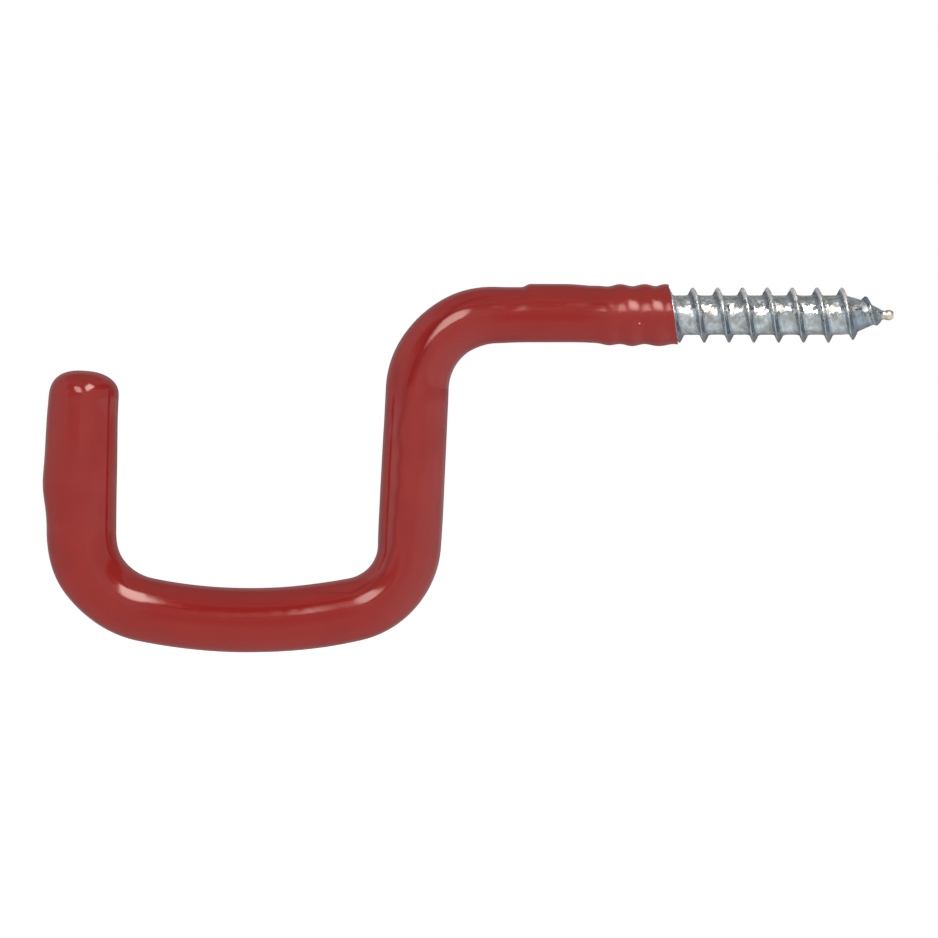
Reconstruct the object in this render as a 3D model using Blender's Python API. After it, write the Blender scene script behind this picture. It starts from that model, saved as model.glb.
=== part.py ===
"""Screw-in storage hook: a steel rod with a rolled thread, bent into a square hook and dipped in vinyl.

The hook lies in the XZ plane. +Z is up, and +X runs along the screw and into the wall.
The origin is on the screw's axis at the wall's face, where the vinyl ends. Units are metres.
"""

import math
from collections import namedtuple

import bmesh
import bpy
from mathutils import Vector

# Rod
ROD_DIAMETER = 0.0070
ROD_CHAMFER = 0.0006

# Centreline, from the wall to the tip. A turn is the angle that a bend takes the rod through.
SHANK_LENGTH = 0.0259
SHOULDER_RADIUS = 0.01126
SHOULDER_TURN = math.radians(87.2)
DROP_LENGTH = 0.0227
HEEL_RADIUS = 0.00995
HEEL_TURN = math.radians(75.4)
SEAT_RADIUS = 0.0746
SEAT_TURN = math.radians(23.5)
TOE_RADIUS = 0.01154
TOE_TURN = math.radians(79.0)
TIP_LENGTH = 0.0216

# Wood-screw thread
THREAD_DIAMETER = 0.0080
CORE_DIAMETER = 0.0057
THREAD_PITCH = 0.0036
THREAD_CREST_WIDTH = 0.00022
THREAD_FLANK_ANGLE = math.radians(27.0)
ROOT_FILLET = 0.00038
FIRST_CREST = 0.0026
SCREW_LENGTH = 0.0319

# The screw's point, which ends in a broken nub
POINT_LENGTH = 0.0060
POINT_FULLNESS = 1.6
FADE_LENGTH = 0.0050
NUB_DIAMETER = 0.0015
NUB_LENGTH = 0.0015
NUB_WEAR = 0.2

# The thread's end under the vinyl, where it runs out onto the shank
HIDDEN_THREAD = 0.0112
RUN_OUT_LENGTH = 0.0036
SHANK_CONE = 0.0012
CONE_SINK = 0.0002

# Vinyl coat. Its thicknesses are measured from the steel.
COAT_ON_CREST = 0.00050
COAT_ON_SHANK = 0.00058
COAT_ON_SHOULDER = 0.00078
COAT_ON_DROP = 0.00114
COAT_ON_DROP_END = 0.00120
COAT_ON_HEEL = 0.00102
COAT_ON_SEAT = 0.00119
COAT_ON_TOE = 0.00126
COAT_ON_TIP = 0.00154
COAT_ON_END = 0.00157
COAT_DOME_DEPTH = 0.0038
COAT_DOME_FLAT = math.radians(6.0)
COAT_END_SLANT = math.radians(8.8)
COAT_RIPPLE = 0.00030
BOND_GAP = 0.0001

# The vinyl that ran to the top of the shank: its height, how much it thinned the underside,
# how far it starts before the thread's end, how far along it reaches its height,
# how far it stops before the shoulder, and the length of the step that it stops in
SHANK_RUN = 0.00046
SHANK_THINNING = 0.00012
SHANK_RUN_LEAD = 0.0027
SHANK_RUN_RISE = 0.0072
SHANK_RUN_STOP = 0.0052
SHANK_RUN_STEP = 0.0013

# Facets, and the spacing of the sections along the rod
ROD_SIDES = 20
COAT_SIDES = 24
STEPS_A_TURN = 20
RIPPLES_A_PITCH = 6
DOME_STEPS = 5
BEND_STEP = math.radians(7.5)
COAT_STEP = 0.0032
SHARP_EDGE = math.radians(35.0)

# Colours, linear
VINYL_RED = (0.36, 0.030, 0.026, 1.0)
ZINC = (0.62, 0.65, 0.68, 1.0)

# A leg of the centreline: its name, its length, and its turn, which is anticlockwise seen from the front
Leg = namedtuple("Leg", "name length turn")
LEGS = (
    Leg("shank", SHANK_LENGTH, 0.0),
    Leg("shoulder", SHOULDER_RADIUS * SHOULDER_TURN, SHOULDER_TURN),
    Leg("drop", DROP_LENGTH, 0.0),
    Leg("heel", HEEL_RADIUS * HEEL_TURN, -HEEL_TURN),
    Leg("seat", SEAT_RADIUS * SEAT_TURN, -SEAT_TURN),
    Leg("toe", TOE_RADIUS * TOE_TURN, -TOE_TURN),
    Leg("tip", TIP_LENGTH, 0.0),
)

# A sag in the dipped vinyl: its leg, the share of the leg where it lies, the side that it is on,
# its reach along the rod, its spread around the rod in radians, and its height.
# Side 0 faces out of the hook, away from what it holds.
Sag = namedtuple("Sag", "leg share side reach spread height")
SAGS = (
    Sag("toe", 0.66, 0.0, 0.0033, 1.1, 0.00034),
    Sag("tip", 0.29, 0.0, 0.0034, 1.0, 0.00044),
    Sag("tip", 0.50, 0.0, 0.0065, 1.2, 0.00044),
)


def clear_scene():
    for obj in list(bpy.data.objects):
        bpy.data.objects.remove(obj, do_unlink=True)


def new_collection(name):
    collection = bpy.data.collections.new(name)
    bpy.context.scene.collection.children.link(collection)
    return collection


def principled(name, colour, roughness, metallic):
    material = bpy.data.materials.new(name)
    material.use_nodes = True
    shader = material.node_tree.nodes["Principled BSDF"]
    shader.inputs["Base Color"].default_value = colour
    shader.inputs["Roughness"].default_value = roughness
    shader.inputs["Metallic"].default_value = metallic
    material.diffuse_color = colour
    return material


def smooth(share):
    share = min(1.0, max(0.0, share))
    return share * share * (3.0 - 2.0 * share)


def leg_at(name, share=0.0):
    """Distance along the rod, from the wall's face, of a place on a leg."""
    before = 0.0
    for leg in LEGS:
        if leg.name == name:
            return before + leg.length * share
        before += leg.length
    raise KeyError(name)


def centreline(along):
    """The point at a distance along the rod from the wall's face, and the heading there."""
    x = 0.0
    z = 0.0
    heading = math.pi
    left = along
    for leg in LEGS:
        step = left if leg is LEGS[-1] else min(left, leg.length)
        if leg.turn:
            curvature = leg.turn / leg.length
            turned = heading + curvature * step
            x += (math.sin(turned) - math.sin(heading)) / curvature
            z -= (math.cos(turned) - math.cos(heading)) / curvature
            heading = turned
        else:
            x += step * math.cos(heading)
            z += step * math.sin(heading)
        left -= step
        if left <= 0.0:
            break
    return Vector((x, 0.0, z)), heading


def bend_marks():
    """Distances along the rod of the sections that its bends need, and of the joins between its legs."""
    marks = []
    for leg in LEGS:
        steps = max(1, math.ceil(abs(leg.turn) / BEND_STEP))
        marks += [leg_at(leg.name, i / steps) for i in range(steps)]
    return marks


def finish_mesh(name, bm, collection, material=None):
    """Makes an object of a closed mesh, facing out and shaded smooth but for its sharp edges."""
    bmesh.ops.recalc_face_normals(bm, faces=bm.faces)
    mesh = bpy.data.meshes.new(name)
    bm.to_mesh(mesh)
    bm.free()
    mesh.shade_smooth()
    mesh.set_sharp_from_angle(angle=SHARP_EDGE)
    if material:
        mesh.materials.append(material)
    obj = bpy.data.objects.new(name, mesh)
    collection.objects.link(obj)
    return obj


def boolean(obj, operation, other):
    modifier = obj.modifiers.new(other.name, "BOOLEAN")
    modifier.operation = operation
    modifier.solver = "EXACT"
    modifier.object = other


def rod_stations(gap):
    """Distances along the rod with its radius there, from the cone inside the screw to the cut end."""
    radius = ROD_DIAMETER / 2 + gap
    end = leg_at("tip", 1.0) + gap
    stations = [(HIDDEN_THREAD - SHANK_CONE, CORE_DIAMETER / 2 - CONE_SINK), (HIDDEN_THREAD, radius)]
    stations += [(mark, radius) for mark in bend_marks() if mark > HIDDEN_THREAD]
    stations += [(end - ROD_CHAMFER, radius), (end, radius - ROD_CHAMFER)]
    return stations


def rod_solid(gap):
    """The bent rod, from a bevelled curve. A gap grows it for the vinyl's bore."""
    stations = rod_stations(gap)
    curve = bpy.data.curves.new("rod", "CURVE")
    curve.dimensions = "3D"
    curve.bevel_depth = ROD_DIAMETER / 2 + gap
    curve.bevel_resolution = ROD_SIDES // 2 - 2
    curve.use_fill_caps = True
    spline = curve.splines.new("POLY")
    spline.points.add(len(stations) - 1)
    for point, (along, radius) in zip(spline.points, stations):
        place, _ = centreline(along)
        point.co = (*place, 1.0)
        point.radius = radius / curve.bevel_depth
    path = bpy.data.objects.new("rod", curve)
    bpy.context.scene.collection.objects.link(path)
    evaluated = path.evaluated_get(bpy.context.evaluated_depsgraph_get())
    mesh = bpy.data.meshes.new_from_object(evaluated)
    bm = bmesh.new()
    bm.from_mesh(mesh)
    bmesh.ops.remove_doubles(bm, verts=bm.verts, dist=ROD_CHAMFER / 100)
    bpy.data.objects.remove(path, do_unlink=True)
    bpy.data.curves.remove(curve)
    bpy.data.meshes.remove(mesh)
    return bm


def core_radius(x):
    """The screw's radius at the root of its thread. It tapers to the nub at the point."""
    core = CORE_DIAMETER / 2
    nub = NUB_DIAMETER / 2
    nub_start = SCREW_LENGTH - NUB_LENGTH
    into_point = (x - nub_start) / POINT_LENGTH + 1.0
    if into_point <= 0.0:
        return core
    if into_point < 1.0:
        return nub + (core - nub) * (1.0 - into_point**POINT_FULLNESS)
    into_nub = min(1.0, (x - nub_start) / NUB_LENGTH)
    return nub * (1.0 - NUB_WEAR * into_nub * into_nub)


def thread_height(x):
    """The thread's height over its root. It fades out on the point, and on the shank under the vinyl."""
    full = (THREAD_DIAMETER - CORE_DIAMETER) / 2
    inside_rod = (ROD_DIAMETER - CORE_DIAMETER) / 4
    to_nub = (SCREW_LENGTH - NUB_LENGTH - x) / FADE_LENGTH
    out_of_rod = smooth((x + HIDDEN_THREAD) / RUN_OUT_LENGTH)
    height = inside_rod + (full - inside_rod) * out_of_rod
    return height * math.sqrt(min(1.0, max(0.0, to_nub)))


def thread_profile(gap):
    """One pitch of the thread as (distance, height) pairs, with a height of 1 at the crest."""
    full = (THREAD_DIAMETER - CORE_DIAMETER) / 2
    grown = gap * (1.0 - math.sin(THREAD_FLANK_ANGLE)) / math.cos(THREAD_FLANK_ANGLE)
    flank = full * math.tan(THREAD_FLANK_ANGLE)
    crest = THREAD_CREST_WIDTH / 2 + grown
    foot = crest + flank
    fillet_top = ROOT_FILLET * math.sin(THREAD_FLANK_ANGLE)
    fillet = ((-foot - ROOT_FILLET, 0.0), (-foot + fillet_top, fillet_top / flank))
    left = ((-THREAD_PITCH / 2, 0.0),) + fillet + ((-crest, 1.0),)
    return left + tuple((-x, height) for x, height in reversed(left))


def thread_turns(start, end, gap):
    """The thread's helical surface, as a spun profile whose height is its distance beyond a radius of 1."""
    bm = bmesh.new()
    first = math.floor((start - FIRST_CREST) / THREAD_PITCH) - 1
    turns = math.ceil((end - FIRST_CREST) / THREAD_PITCH) + 1 - first
    x = FIRST_CREST + first * THREAD_PITCH
    verts = [bm.verts.new((x + dx, 0.0, 1.0 + height)) for dx, height in thread_profile(gap)]
    edges = [bm.edges.new(pair) for pair in zip(verts, verts[1:])]
    bmesh.ops.spin(
        bm,
        geom=verts + edges,
        cent=(0.0, 0.0, 0.0),
        axis=(1.0, 0.0, 0.0),
        dvec=(THREAD_PITCH / STEPS_A_TURN, 0.0, 0.0),
        angle=math.tau * turns,
        steps=STEPS_A_TURN * turns,
        use_duplicate=False,
    )
    bmesh.ops.remove_doubles(bm, verts=bm.verts, dist=THREAD_CREST_WIDTH / 20)
    return bm


def cut_flat(bm, place, normal):
    """Cuts a mesh by a plane, drops what lies beyond it and closes the cut with a flat face."""
    geom = bm.verts[:] + bm.edges[:] + bm.faces[:]
    cut = bmesh.ops.bisect_plane(bm, geom=geom, dist=1e-7, plane_co=place, plane_no=normal, clear_outer=True)
    rim = [item for item in cut["geom_cut"] if isinstance(item, bmesh.types.BMEdge)]
    bmesh.ops.edgeloop_fill(bm, edges=rim)


def thread_solid(start, end, gap):
    """The screw's core with its thread, between two distances from the wall's face."""
    bm = thread_turns(start, end, gap)
    for vert in bm.verts:
        spun = math.hypot(vert.co.y, vert.co.z)
        radius = core_radius(vert.co.x) + gap + (spun - 1.0) * thread_height(vert.co.x)
        vert.co.y *= radius / spun
        vert.co.z *= radius / spun
    cut_flat(bm, (start, 0.0, 0.0), (-1.0, 0.0, 0.0))
    cut_flat(bm, (end, 0.0, 0.0), (1.0, 0.0, 0.0))
    return bm


def coat_thickness(along):
    """The vinyl's thickness over the plain rod, which the dip leaves thickest near the tip."""
    knots = (
        (leg_at("shank", 0.9), COAT_ON_SHANK),
        (leg_at("shoulder", 0.3), COAT_ON_SHOULDER),
        (leg_at("drop", 0.1), COAT_ON_DROP),
        (leg_at("drop", 0.8), COAT_ON_DROP_END),
        (leg_at("heel", 0.45), COAT_ON_HEEL),
        (leg_at("seat", 0.2), COAT_ON_SEAT),
        (leg_at("seat", 0.9), COAT_ON_SEAT),
        (leg_at("toe", 0.5), COAT_ON_TOE),
        (leg_at("tip"), COAT_ON_TIP),
        (leg_at("tip", 1.0), COAT_ON_END),
    )
    if along <= knots[0][0]:
        return COAT_ON_SHANK
    for (start, before), (end, after) in zip(knots, knots[1:]):
        if along <= end:
            return before + (after - before) * smooth((along - start) / (end - start))
    return COAT_ON_END


def sag_height(along, side):
    height = 0.0
    for sag in SAGS:
        away = (along - leg_at(sag.leg, sag.share)) / sag.reach
        around = math.remainder(side - sag.side, math.tau) / sag.spread
        height += sag.height * math.exp(-away * away - around * around)
    return height


def shank_run(along, side):
    """Vinyl that ran to the top of the shank while it set, up to a small step before the shoulder."""
    start = HIDDEN_THREAD - SHANK_RUN_LEAD
    stop = SHANK_LENGTH - SHANK_RUN_STOP
    amount = smooth((along - start) / SHANK_RUN_RISE) * (1.0 - smooth((along - stop) / SHANK_RUN_STEP))
    up = (1.0 - math.cos(side)) / 2
    return amount * (SHANK_RUN * up - SHANK_THINNING * (1.0 - up))


def coat_radius(along, side):
    """The vinyl's outer radius. Over the hidden thread it ripples with the thread."""
    on_rod = ROD_DIAMETER / 2 + coat_thickness(along) + sag_height(along, side) + shank_run(along, side)
    phase = math.tau * (along + FIRST_CREST) / THREAD_PITCH + side + math.pi
    dip = COAT_RIPPLE * (1.0 - math.cos(phase)) / 2
    on_thread = THREAD_DIAMETER / 2 + COAT_ON_CREST - dip
    past_thread = smooth((along - HIDDEN_THREAD + RUN_OUT_LENGTH) / (RUN_OUT_LENGTH + THREAD_PITCH / 2))
    return on_thread + (on_rod - on_thread) * past_thread


def coat_marks():
    """Distances along the rod of the sections that the vinyl's outside needs, before its domed end."""
    ripple_step = THREAD_PITCH / RIPPLES_A_PITCH
    ripples = math.ceil((HIDDEN_THREAD + THREAD_PITCH / 2) / ripple_step)
    marks = [ripple_step * i for i in range(-RIPPLES_A_PITCH // 2, ripples + 1)]
    dome_start = leg_at("tip", 1.0) + COAT_ON_END - COAT_DOME_DEPTH
    run_end = SHANK_LENGTH - SHANK_RUN_STOP
    joins = bend_marks() + [run_end, run_end + SHANK_RUN_STEP / 2, run_end + SHANK_RUN_STEP]
    joins = [join for join in sorted(joins) if marks[-1] < join < dome_start] + [dome_start]
    for join in joins:
        start = marks[-1]
        steps = math.ceil((join - start) / COAT_STEP)
        marks += [start + (join - start) * (i + 1) / steps for i in range(steps)]
    return marks


def coat_section(along, narrowing=1.0):
    """Points around the rod on the vinyl's outside, from side 0 by way of the back."""
    centre, heading = centreline(along)
    outward = Vector((-math.sin(heading), 0.0, math.cos(heading)))
    back = Vector((0.0, 1.0, 0.0))
    points = []
    for i in range(COAT_SIDES):
        side = math.tau * i / COAT_SIDES
        arm = outward * math.cos(side) + back * math.sin(side)
        points.append(centre + arm * coat_radius(along, side) * narrowing)
    return points


def dome_sections():
    """The coat's closed end, a flat-topped dome over the rod's cut end."""
    top = leg_at("tip", 1.0) + COAT_ON_END
    last = math.pi / 2 - COAT_DOME_FLAT
    sections = []
    for i in range(1, DOME_STEPS + 1):
        angle = last * i / DOME_STEPS
        along = top - COAT_DOME_DEPTH * (1.0 - math.sin(angle) / math.sin(last))
        sections.append(coat_section(along, math.cos(angle)))
    return sections


def coat_solid():
    """The vinyl's outside, lofted through its sections and cut off on a slant at the wall."""
    bm = bmesh.new()
    sections = [coat_section(along) for along in coat_marks()] + dome_sections()
    loops = [[bm.verts.new(point) for point in section] for section in sections]
    for before, after in zip(loops, loops[1:]):
        for i in range(COAT_SIDES):
            j = (i + 1) % COAT_SIDES
            bm.faces.new((before[i], before[j], after[j], after[i]))
    bm.faces.new(loops[0])
    bm.faces.new(loops[-1])
    cut_flat(bm, (0.0, 0.0, 0.0), (math.cos(COAT_END_SLANT), 0.0, math.sin(COAT_END_SLANT)))
    return bm


def main():
    clear_scene()
    hook = new_collection("storage_hook")
    cutters = new_collection("cutters")
    cutters.hide_render = True

    steel = principled("zinc_plated_steel", ZINC, 0.30, 1.0)
    vinyl = principled("red_vinyl", VINYL_RED, 0.25, 0.0)

    thread_start = -HIDDEN_THREAD - SHANK_CONE
    thread = finish_mesh("screw_thread", thread_solid(thread_start, SCREW_LENGTH, 0.0), cutters)
    rod = finish_mesh("steel_hook", rod_solid(0.0), hook, steel)
    boolean(rod, "UNION", thread)

    bore = finish_mesh("rod_bore", rod_solid(BOND_GAP), cutters)
    thread_bore = finish_mesh("thread_bore", thread_solid(thread_start, THREAD_PITCH, BOND_GAP), cutters)
    coat = finish_mesh("vinyl_coating", coat_solid(), hook, vinyl)
    boolean(coat, "DIFFERENCE", bore)
    boolean(coat, "DIFFERENCE", thread_bore)

    for cutter in cutters.objects:
        cutter.hide_render = True
        cutter.display_type = "WIRE"


main()
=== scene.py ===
"""Dresses the storage hook: a fine vinyl coat, a fine steel screw, their finishes and a pale studio.

The hook lies in the XZ plane, with +X along the screw into the wall and +Z up. Units are metres.
"""

from collections import namedtuple
from math import atan2, ceil, cos, exp, hypot, pi, radians, remainder, sin, sqrt, tan, tau

import bmesh
import bpy
from bpy.props import FloatProperty, FloatVectorProperty, PointerProperty
from bpy.types import Operator, Panel, PropertyGroup
from mathutils import Matrix, Vector, noise


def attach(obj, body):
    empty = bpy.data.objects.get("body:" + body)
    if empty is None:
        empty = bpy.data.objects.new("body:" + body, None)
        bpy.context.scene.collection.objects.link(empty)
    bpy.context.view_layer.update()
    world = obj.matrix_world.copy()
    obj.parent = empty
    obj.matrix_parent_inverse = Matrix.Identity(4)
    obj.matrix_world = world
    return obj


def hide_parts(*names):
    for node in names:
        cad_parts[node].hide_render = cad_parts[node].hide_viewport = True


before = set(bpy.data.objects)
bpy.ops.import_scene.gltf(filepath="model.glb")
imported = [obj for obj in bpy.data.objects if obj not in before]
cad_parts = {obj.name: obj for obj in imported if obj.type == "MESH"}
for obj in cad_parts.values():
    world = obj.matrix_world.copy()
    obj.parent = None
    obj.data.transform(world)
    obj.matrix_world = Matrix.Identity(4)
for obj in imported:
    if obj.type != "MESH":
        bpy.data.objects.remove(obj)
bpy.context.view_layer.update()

bl_info = {
    "name": "Storage Hook",
    "version": (1, 0, 0),
    "blender": (4, 5, 0),
    "location": "View3D > Sidebar > Storage Hook",
    "description": "Builds a storage hook's vinyl coat and steel screw, and a studio around them",
    "category": "Object",
}

# Facets and spacings of the fine meshes
COAT_SIDES = 128
COAT_STEP = 0.00032
DOME_STEPS = 16
MOUTH_HUB = 0.0010
ROD_SIDES = 48
ROD_STEP = 0.0010
THREAD_STEPS = 72
BORE_THREAD_STEPS = 36
SHARP_EDGE = radians(38.0)
ON_PLANE = 1e-7

# A small pale speck on the shank's vinyl
SPECK_PLACE = (-0.00496, -0.00405, -0.00130)
SPECK_SIZE = 0.00022

# How far the ripples run ahead of the thread at the front, in radians of a turn
RIPPLE_LEAD = 0.6

# How ragged the vinyl's cut end is, how far the rod's cone starts inside the thread's core, and how thick
# the neck before the nub is, as a share of the nub
MOUTH_RAGGED = 0.00008
CORE_OVERLAP = 0.0002
NECK_SHARE = 0.8

# Where a finish fades in: the crest by its distance from the axis, the rest by their place along the screw
CREST_FROM = (0.0033, 0.0037)
BARE_FROM = (0.0300, 0.0306)
CUT_END = (-0.0030, -0.0020)
RIPPLES_FROM = (-0.0100, -0.0080)

# Waves to the metre in the uneven vinyl, and for the dents in the steel with their share of the depth
COAT_WAVES = 130.0
SEAM_WAVES = 260.0
DRAPE_WAVES = 300.0
FILM_WAVES = 420.0
RIDGE_WAVES = 620.0
DENTS = ((900.0, 1.4), (2300.0, 0.7))

# The key lamp's width and place, the floor's own tone, and the room's tones behind the hook
KEY_WIDTH = radians(50.0)
KEY_PLACE = (0.05, -1.0, 0.22)
FLOOR_PALE = 0.5
BACK_TONE = 0.58
FAR_TONE = 0.3


def length(name, description, default):
    """A length in metres, for a property group."""
    return FloatProperty(
        name=name, description=description, default=default, min=0.0, precision=5, subtype="DISTANCE",
        unit="LENGTH",
    )


def angle(name, description, degrees):
    """An angle, for a property group."""
    return FloatProperty(
        name=name, description=description, default=radians(degrees), subtype="ANGLE", unit="ROTATION"
    )


def number(name, description, default):
    """A plain number of zero or more, for a property group."""
    return FloatProperty(name=name, description=description, default=default, min=0.0)


def colour(name, description, default):
    """A linear colour, for a property group."""
    return FloatVectorProperty(
        name=name, description=description, default=default, size=3, min=0.0, max=1.0, subtype="COLOR"
    )


class RodSizes(PropertyGroup):
    """The bent rod, from the wall to the tip."""

    diameter: length("Rod diameter", "Diameter of the steel under the vinyl", 0.0070)
    chamfer: length("Chamfer", "Chamfer on the rod's cut end", 0.0006)
    shank_length: length("Shank length", "Straight length from the wall", 0.0259)
    shoulder_radius: length("Shoulder radius", "Radius of the bend at the shank's end", 0.01126)
    shoulder_turn: angle("Shoulder turn", "Angle of the bend at the shank's end", 87.2)
    drop_length: length("Drop length", "Straight length down to the heel", 0.0227)
    heel_radius: length("Heel radius", "Radius of the bend at the drop's foot", 0.00995)
    heel_turn: angle("Heel turn", "Angle of the bend at the drop's foot", 75.4)
    seat_radius: length("Seat radius", "Radius of the shallow bow that holds the load", 0.0746)
    seat_turn: angle("Seat turn", "Angle of the shallow bow", 23.5)
    toe_radius: length("Toe radius", "Radius of the bend up to the tip", 0.01154)
    toe_turn: angle("Toe turn", "Angle of the bend up to the tip", 79.0)
    tip_length: length("Tip length", "Straight length up to the rod's end", 0.0216)


class ScrewSizes(PropertyGroup):
    """The wood-screw thread and its point."""

    thread_diameter: length("Thread diameter", "Diameter over the thread's crest", 0.0080)
    core_diameter: length("Core diameter", "Diameter at the thread's root", 0.0057)
    pitch: length("Pitch", "Distance between two turns", 0.0036)
    crest_width: length("Crest width", "Width of the thread's crest", 0.00016)
    crest_round: length("Crest rounding", "Depth of the crest's rounded shoulders", 0.00006)
    flank_angle: angle("Flank angle", "Lean of each side of the thread", 27.5)
    root_fillet: length("Root fillet", "Reach of the fillet between thread and core", 0.00038)
    first_crest: length("First crest", "Place of a crest on the thread's upper side", 0.00275)
    screw_length: length("Screw length", "Length from the wall's face to the point's end", 0.0319)
    point_length: length("Point length", "Length over which the core tapers", 0.0060)
    point_fullness: number("Point fullness", "Roundness of the point's taper", 1.6)
    fade_length: length("Fade length", "Length over which the thread fades at the point", 0.0050)
    nub_diameter: length("Nub diameter", "Diameter of the broken nub at the point", 0.0015)
    nub_length: length("Nub length", "Length of the broken nub", 0.0015)
    turn_lean: number("Turn lean", "How far the dies tilted each turn, as a slope", 0.018)
    hidden_thread: length("Hidden thread", "Length of thread under the vinyl", 0.0112)
    run_out: length("Run-out", "Length over which the hidden thread runs out", 0.0036)
    shank_cone: length("Shank cone", "Length of the cone between core and rod", 0.0012)
    dent_depth: length("Dent depth", "Depth of the dents that rolling left in the steel", 0.000022)


class CoatSizes(PropertyGroup):
    """The dipped vinyl, measured from the steel."""

    on_crest: length("On the thread", "Thickness over the hidden thread's crest", 0.00050)
    on_shank: length("On the shank", "Thickness on the shank", 0.00058)
    on_shoulder: length("On the shoulder", "Thickness on the shoulder", 0.00078)
    on_drop: length("On the drop", "Thickness at the top of the drop", 0.00114)
    on_drop_end: length("On the drop's foot", "Thickness at the foot of the drop", 0.00120)
    on_heel: length("On the heel", "Thickness on the heel", 0.00102)
    on_seat: length("On the seat", "Thickness on the seat", 0.00119)
    on_toe: length("On the toe", "Thickness on the toe", 0.00126)
    on_tip: length("On the tip", "Thickness at the tip's foot", 0.00154)
    on_end: length("On the end", "Thickness over the rod's cut end", 0.00157)
    dome_depth: length("Dome depth", "Height of the rounded end", 0.0038)
    dome_flat: angle("Dome flat", "How flat the rounded end is at its top", 3.0)
    dome_square: number("Dome squareness", "2 for a round end, more for fuller corners", 2.4)
    dome_lean: number("Dome lean", "Slope of the rounded end, down inwards", 0.055)
    dome_shift: length("Dome shift", "How far the rounded end sits inwards", 0.00020)
    end_slant: angle("End slant", "Slant of the vinyl's cut end at the wall", 8.8)
    end_round: length("End rounding", "Rounding of the vinyl's cut end", 0.00010)
    slant_reach: length("Slant reach", "Length over which the slant dies out", 0.0040)
    ripple: length("Ripple", "Depth of the ripples over the hidden thread", 0.00030)
    ripple_lag: length("Ripple lag", "How far the ripples lie behind the thread's turns", 0.00030)
    front_thinning: length("Thinning at the front", "How much thinner the ripples are at the front", 0.00019)
    front_end: length("Front ripples' end", "Where the front ripples die out", 0.0071)
    ripple_front: number("Ripple at the front", "Share of the ripples' depth left in front", 0.32)
    run_height: length("Run height", "Height of the vinyl that ran to the shank's top", 0.00046)
    run_thinning: length("Run thinning", "How much the run thinned the shank's underside", 0.00012)
    run_lead: length("Run lead", "How far the run starts before the hidden thread's end", 0.0027)
    run_rise: length("Run rise", "Length along which the run reaches its height", 0.0072)
    run_stop: length("Run stop", "How far the run stops before the shoulder", 0.0052)
    run_step: length("Run step", "Length of the step that the run stops in", 0.0013)
    wander: length("Wander", "Height of the long soft waves that dripping left", 0.000030)
    bond_gap: length("Bond gap", "Clearance between vinyl and steel", 0.0001)


class Finishes(PropertyGroup):
    """Colours and gloss."""

    vinyl: colour("Vinyl", "Main colour of the vinyl", (0.335, 0.0195, 0.0152))
    # Painted sheen: a paler tint on the lapped film beside the seam
    vinyl_film_sheen: colour("Vinyl, film", "Colour of the thin film that lapped over", (0.325, 0.041, 0.037))
    # Painted shade: a darker red in the seam's crease and the shoulder's notch
    vinyl_crease_shade: colour("Vinyl, crease", "Colour in the seam's crease", (0.270, 0.006, 0.005))
    # Painted shade: a deeper red along the front faces of the shank and the seat
    vinyl_face_shade: colour("Vinyl, face", "Colour along the level legs' faces", (0.312, 0.0050, 0.0020))
    vinyl_deep: colour("Vinyl, deep", "Colour of its deeper patches", (0.308, 0.0166, 0.0128))
    vinyl_gloss: number("Vinyl reflectance", "Specular level of the vinyl", 0.5)
    vinyl_roughness: number("Vinyl roughness", "Roughness of clean vinyl", 0.095)
    ripple_roughness: number("Ripple roughness", "Roughness of the vinyl over the hidden thread", 0.20)
    cut_vinyl: colour("Cut vinyl", "Colour of the vinyl's cut end", (0.16, 0.012, 0.010))
    speck: colour("Speck", "Colour of a speck of dirt on the vinyl", (0.85, 0.42, 0.40))
    zinc: colour("Zinc", "Main colour of the plated steel", (0.64, 0.71, 0.755))
    zinc_dull: colour("Zinc, dull", "Colour of its scuffed and stained patches", (0.50, 0.53, 0.52))
    zinc_roughness: number("Zinc roughness", "Roughness of the plated steel", 0.24)
    # The crest's burnish, with a painted highlight: it is white only on its upper side
    zinc_burnish_and_highlight: colour("Zinc, crest", "Colour of the thread's burnished crest", (1.0, 1.0, 1.0))
    # Painted shade: the thread's flanks darker where they face away from the light
    zinc_flank_shade: colour("Zinc, flank", "Colour of the thread's flanks", (0.25, 0.295, 0.35))
    nub: colour("Broken end", "Colour of the bare metal at the point", (0.76, 0.70, 0.56))


class StudioSettings(PropertyGroup):
    """The camera, the lamps and the floor."""

    frame_width: length("Frame width", "Width that the picture covers at the hook", 0.13594)
    lens: number("Lens", "Focal length in millimetres", 320.0)
    aim_x: FloatProperty(name="Aim X", description="Picture's centre", default=-0.0296, unit="LENGTH")
    aim_z: FloatProperty(name="Aim Z", description="Picture's centre", default=-0.0223, unit="LENGTH")
    floor_drop: length("Floor drop", "How far the floor lies under the screw's axis", 0.16)
    floor_size: length("Floor size", "Side of the floor", 12.0)
    ambient: number("Ambient", "Strength of the light from all round", 0.55)
    key: number("Key", "Strength of the soft key lamp", 1.15)
    floor_lift: number("Floor lift", "Brightness added to the floor, so that it shows white", 0.80)
    floor_light: number("Floor light", "Light that the floor gives off", 0.46)
    floor_left: number("Floor, left", "Brightness of the floor in gloss, on the left", 0.58)
    floor_right: number("Floor, right", "Brightness of the floor in gloss, on the right", 0.92)
    room_left: number("Room, left", "Brightness of the room in gloss, on the left", 0.66)
    room_right: number("Room, right", "Brightness of the room in gloss, on the right", 0.58)
    box_colour: colour("Box colour", "Colour of the two soft boxes", (1.0, 0.86, 0.77))
    right_box: number("Right box", "Brightness of the right soft box", 11.2)
    left_box: number("Left box", "Brightness of the left soft box", 7.6)


Leg = namedtuple("Leg", "name start length turn")


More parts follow.
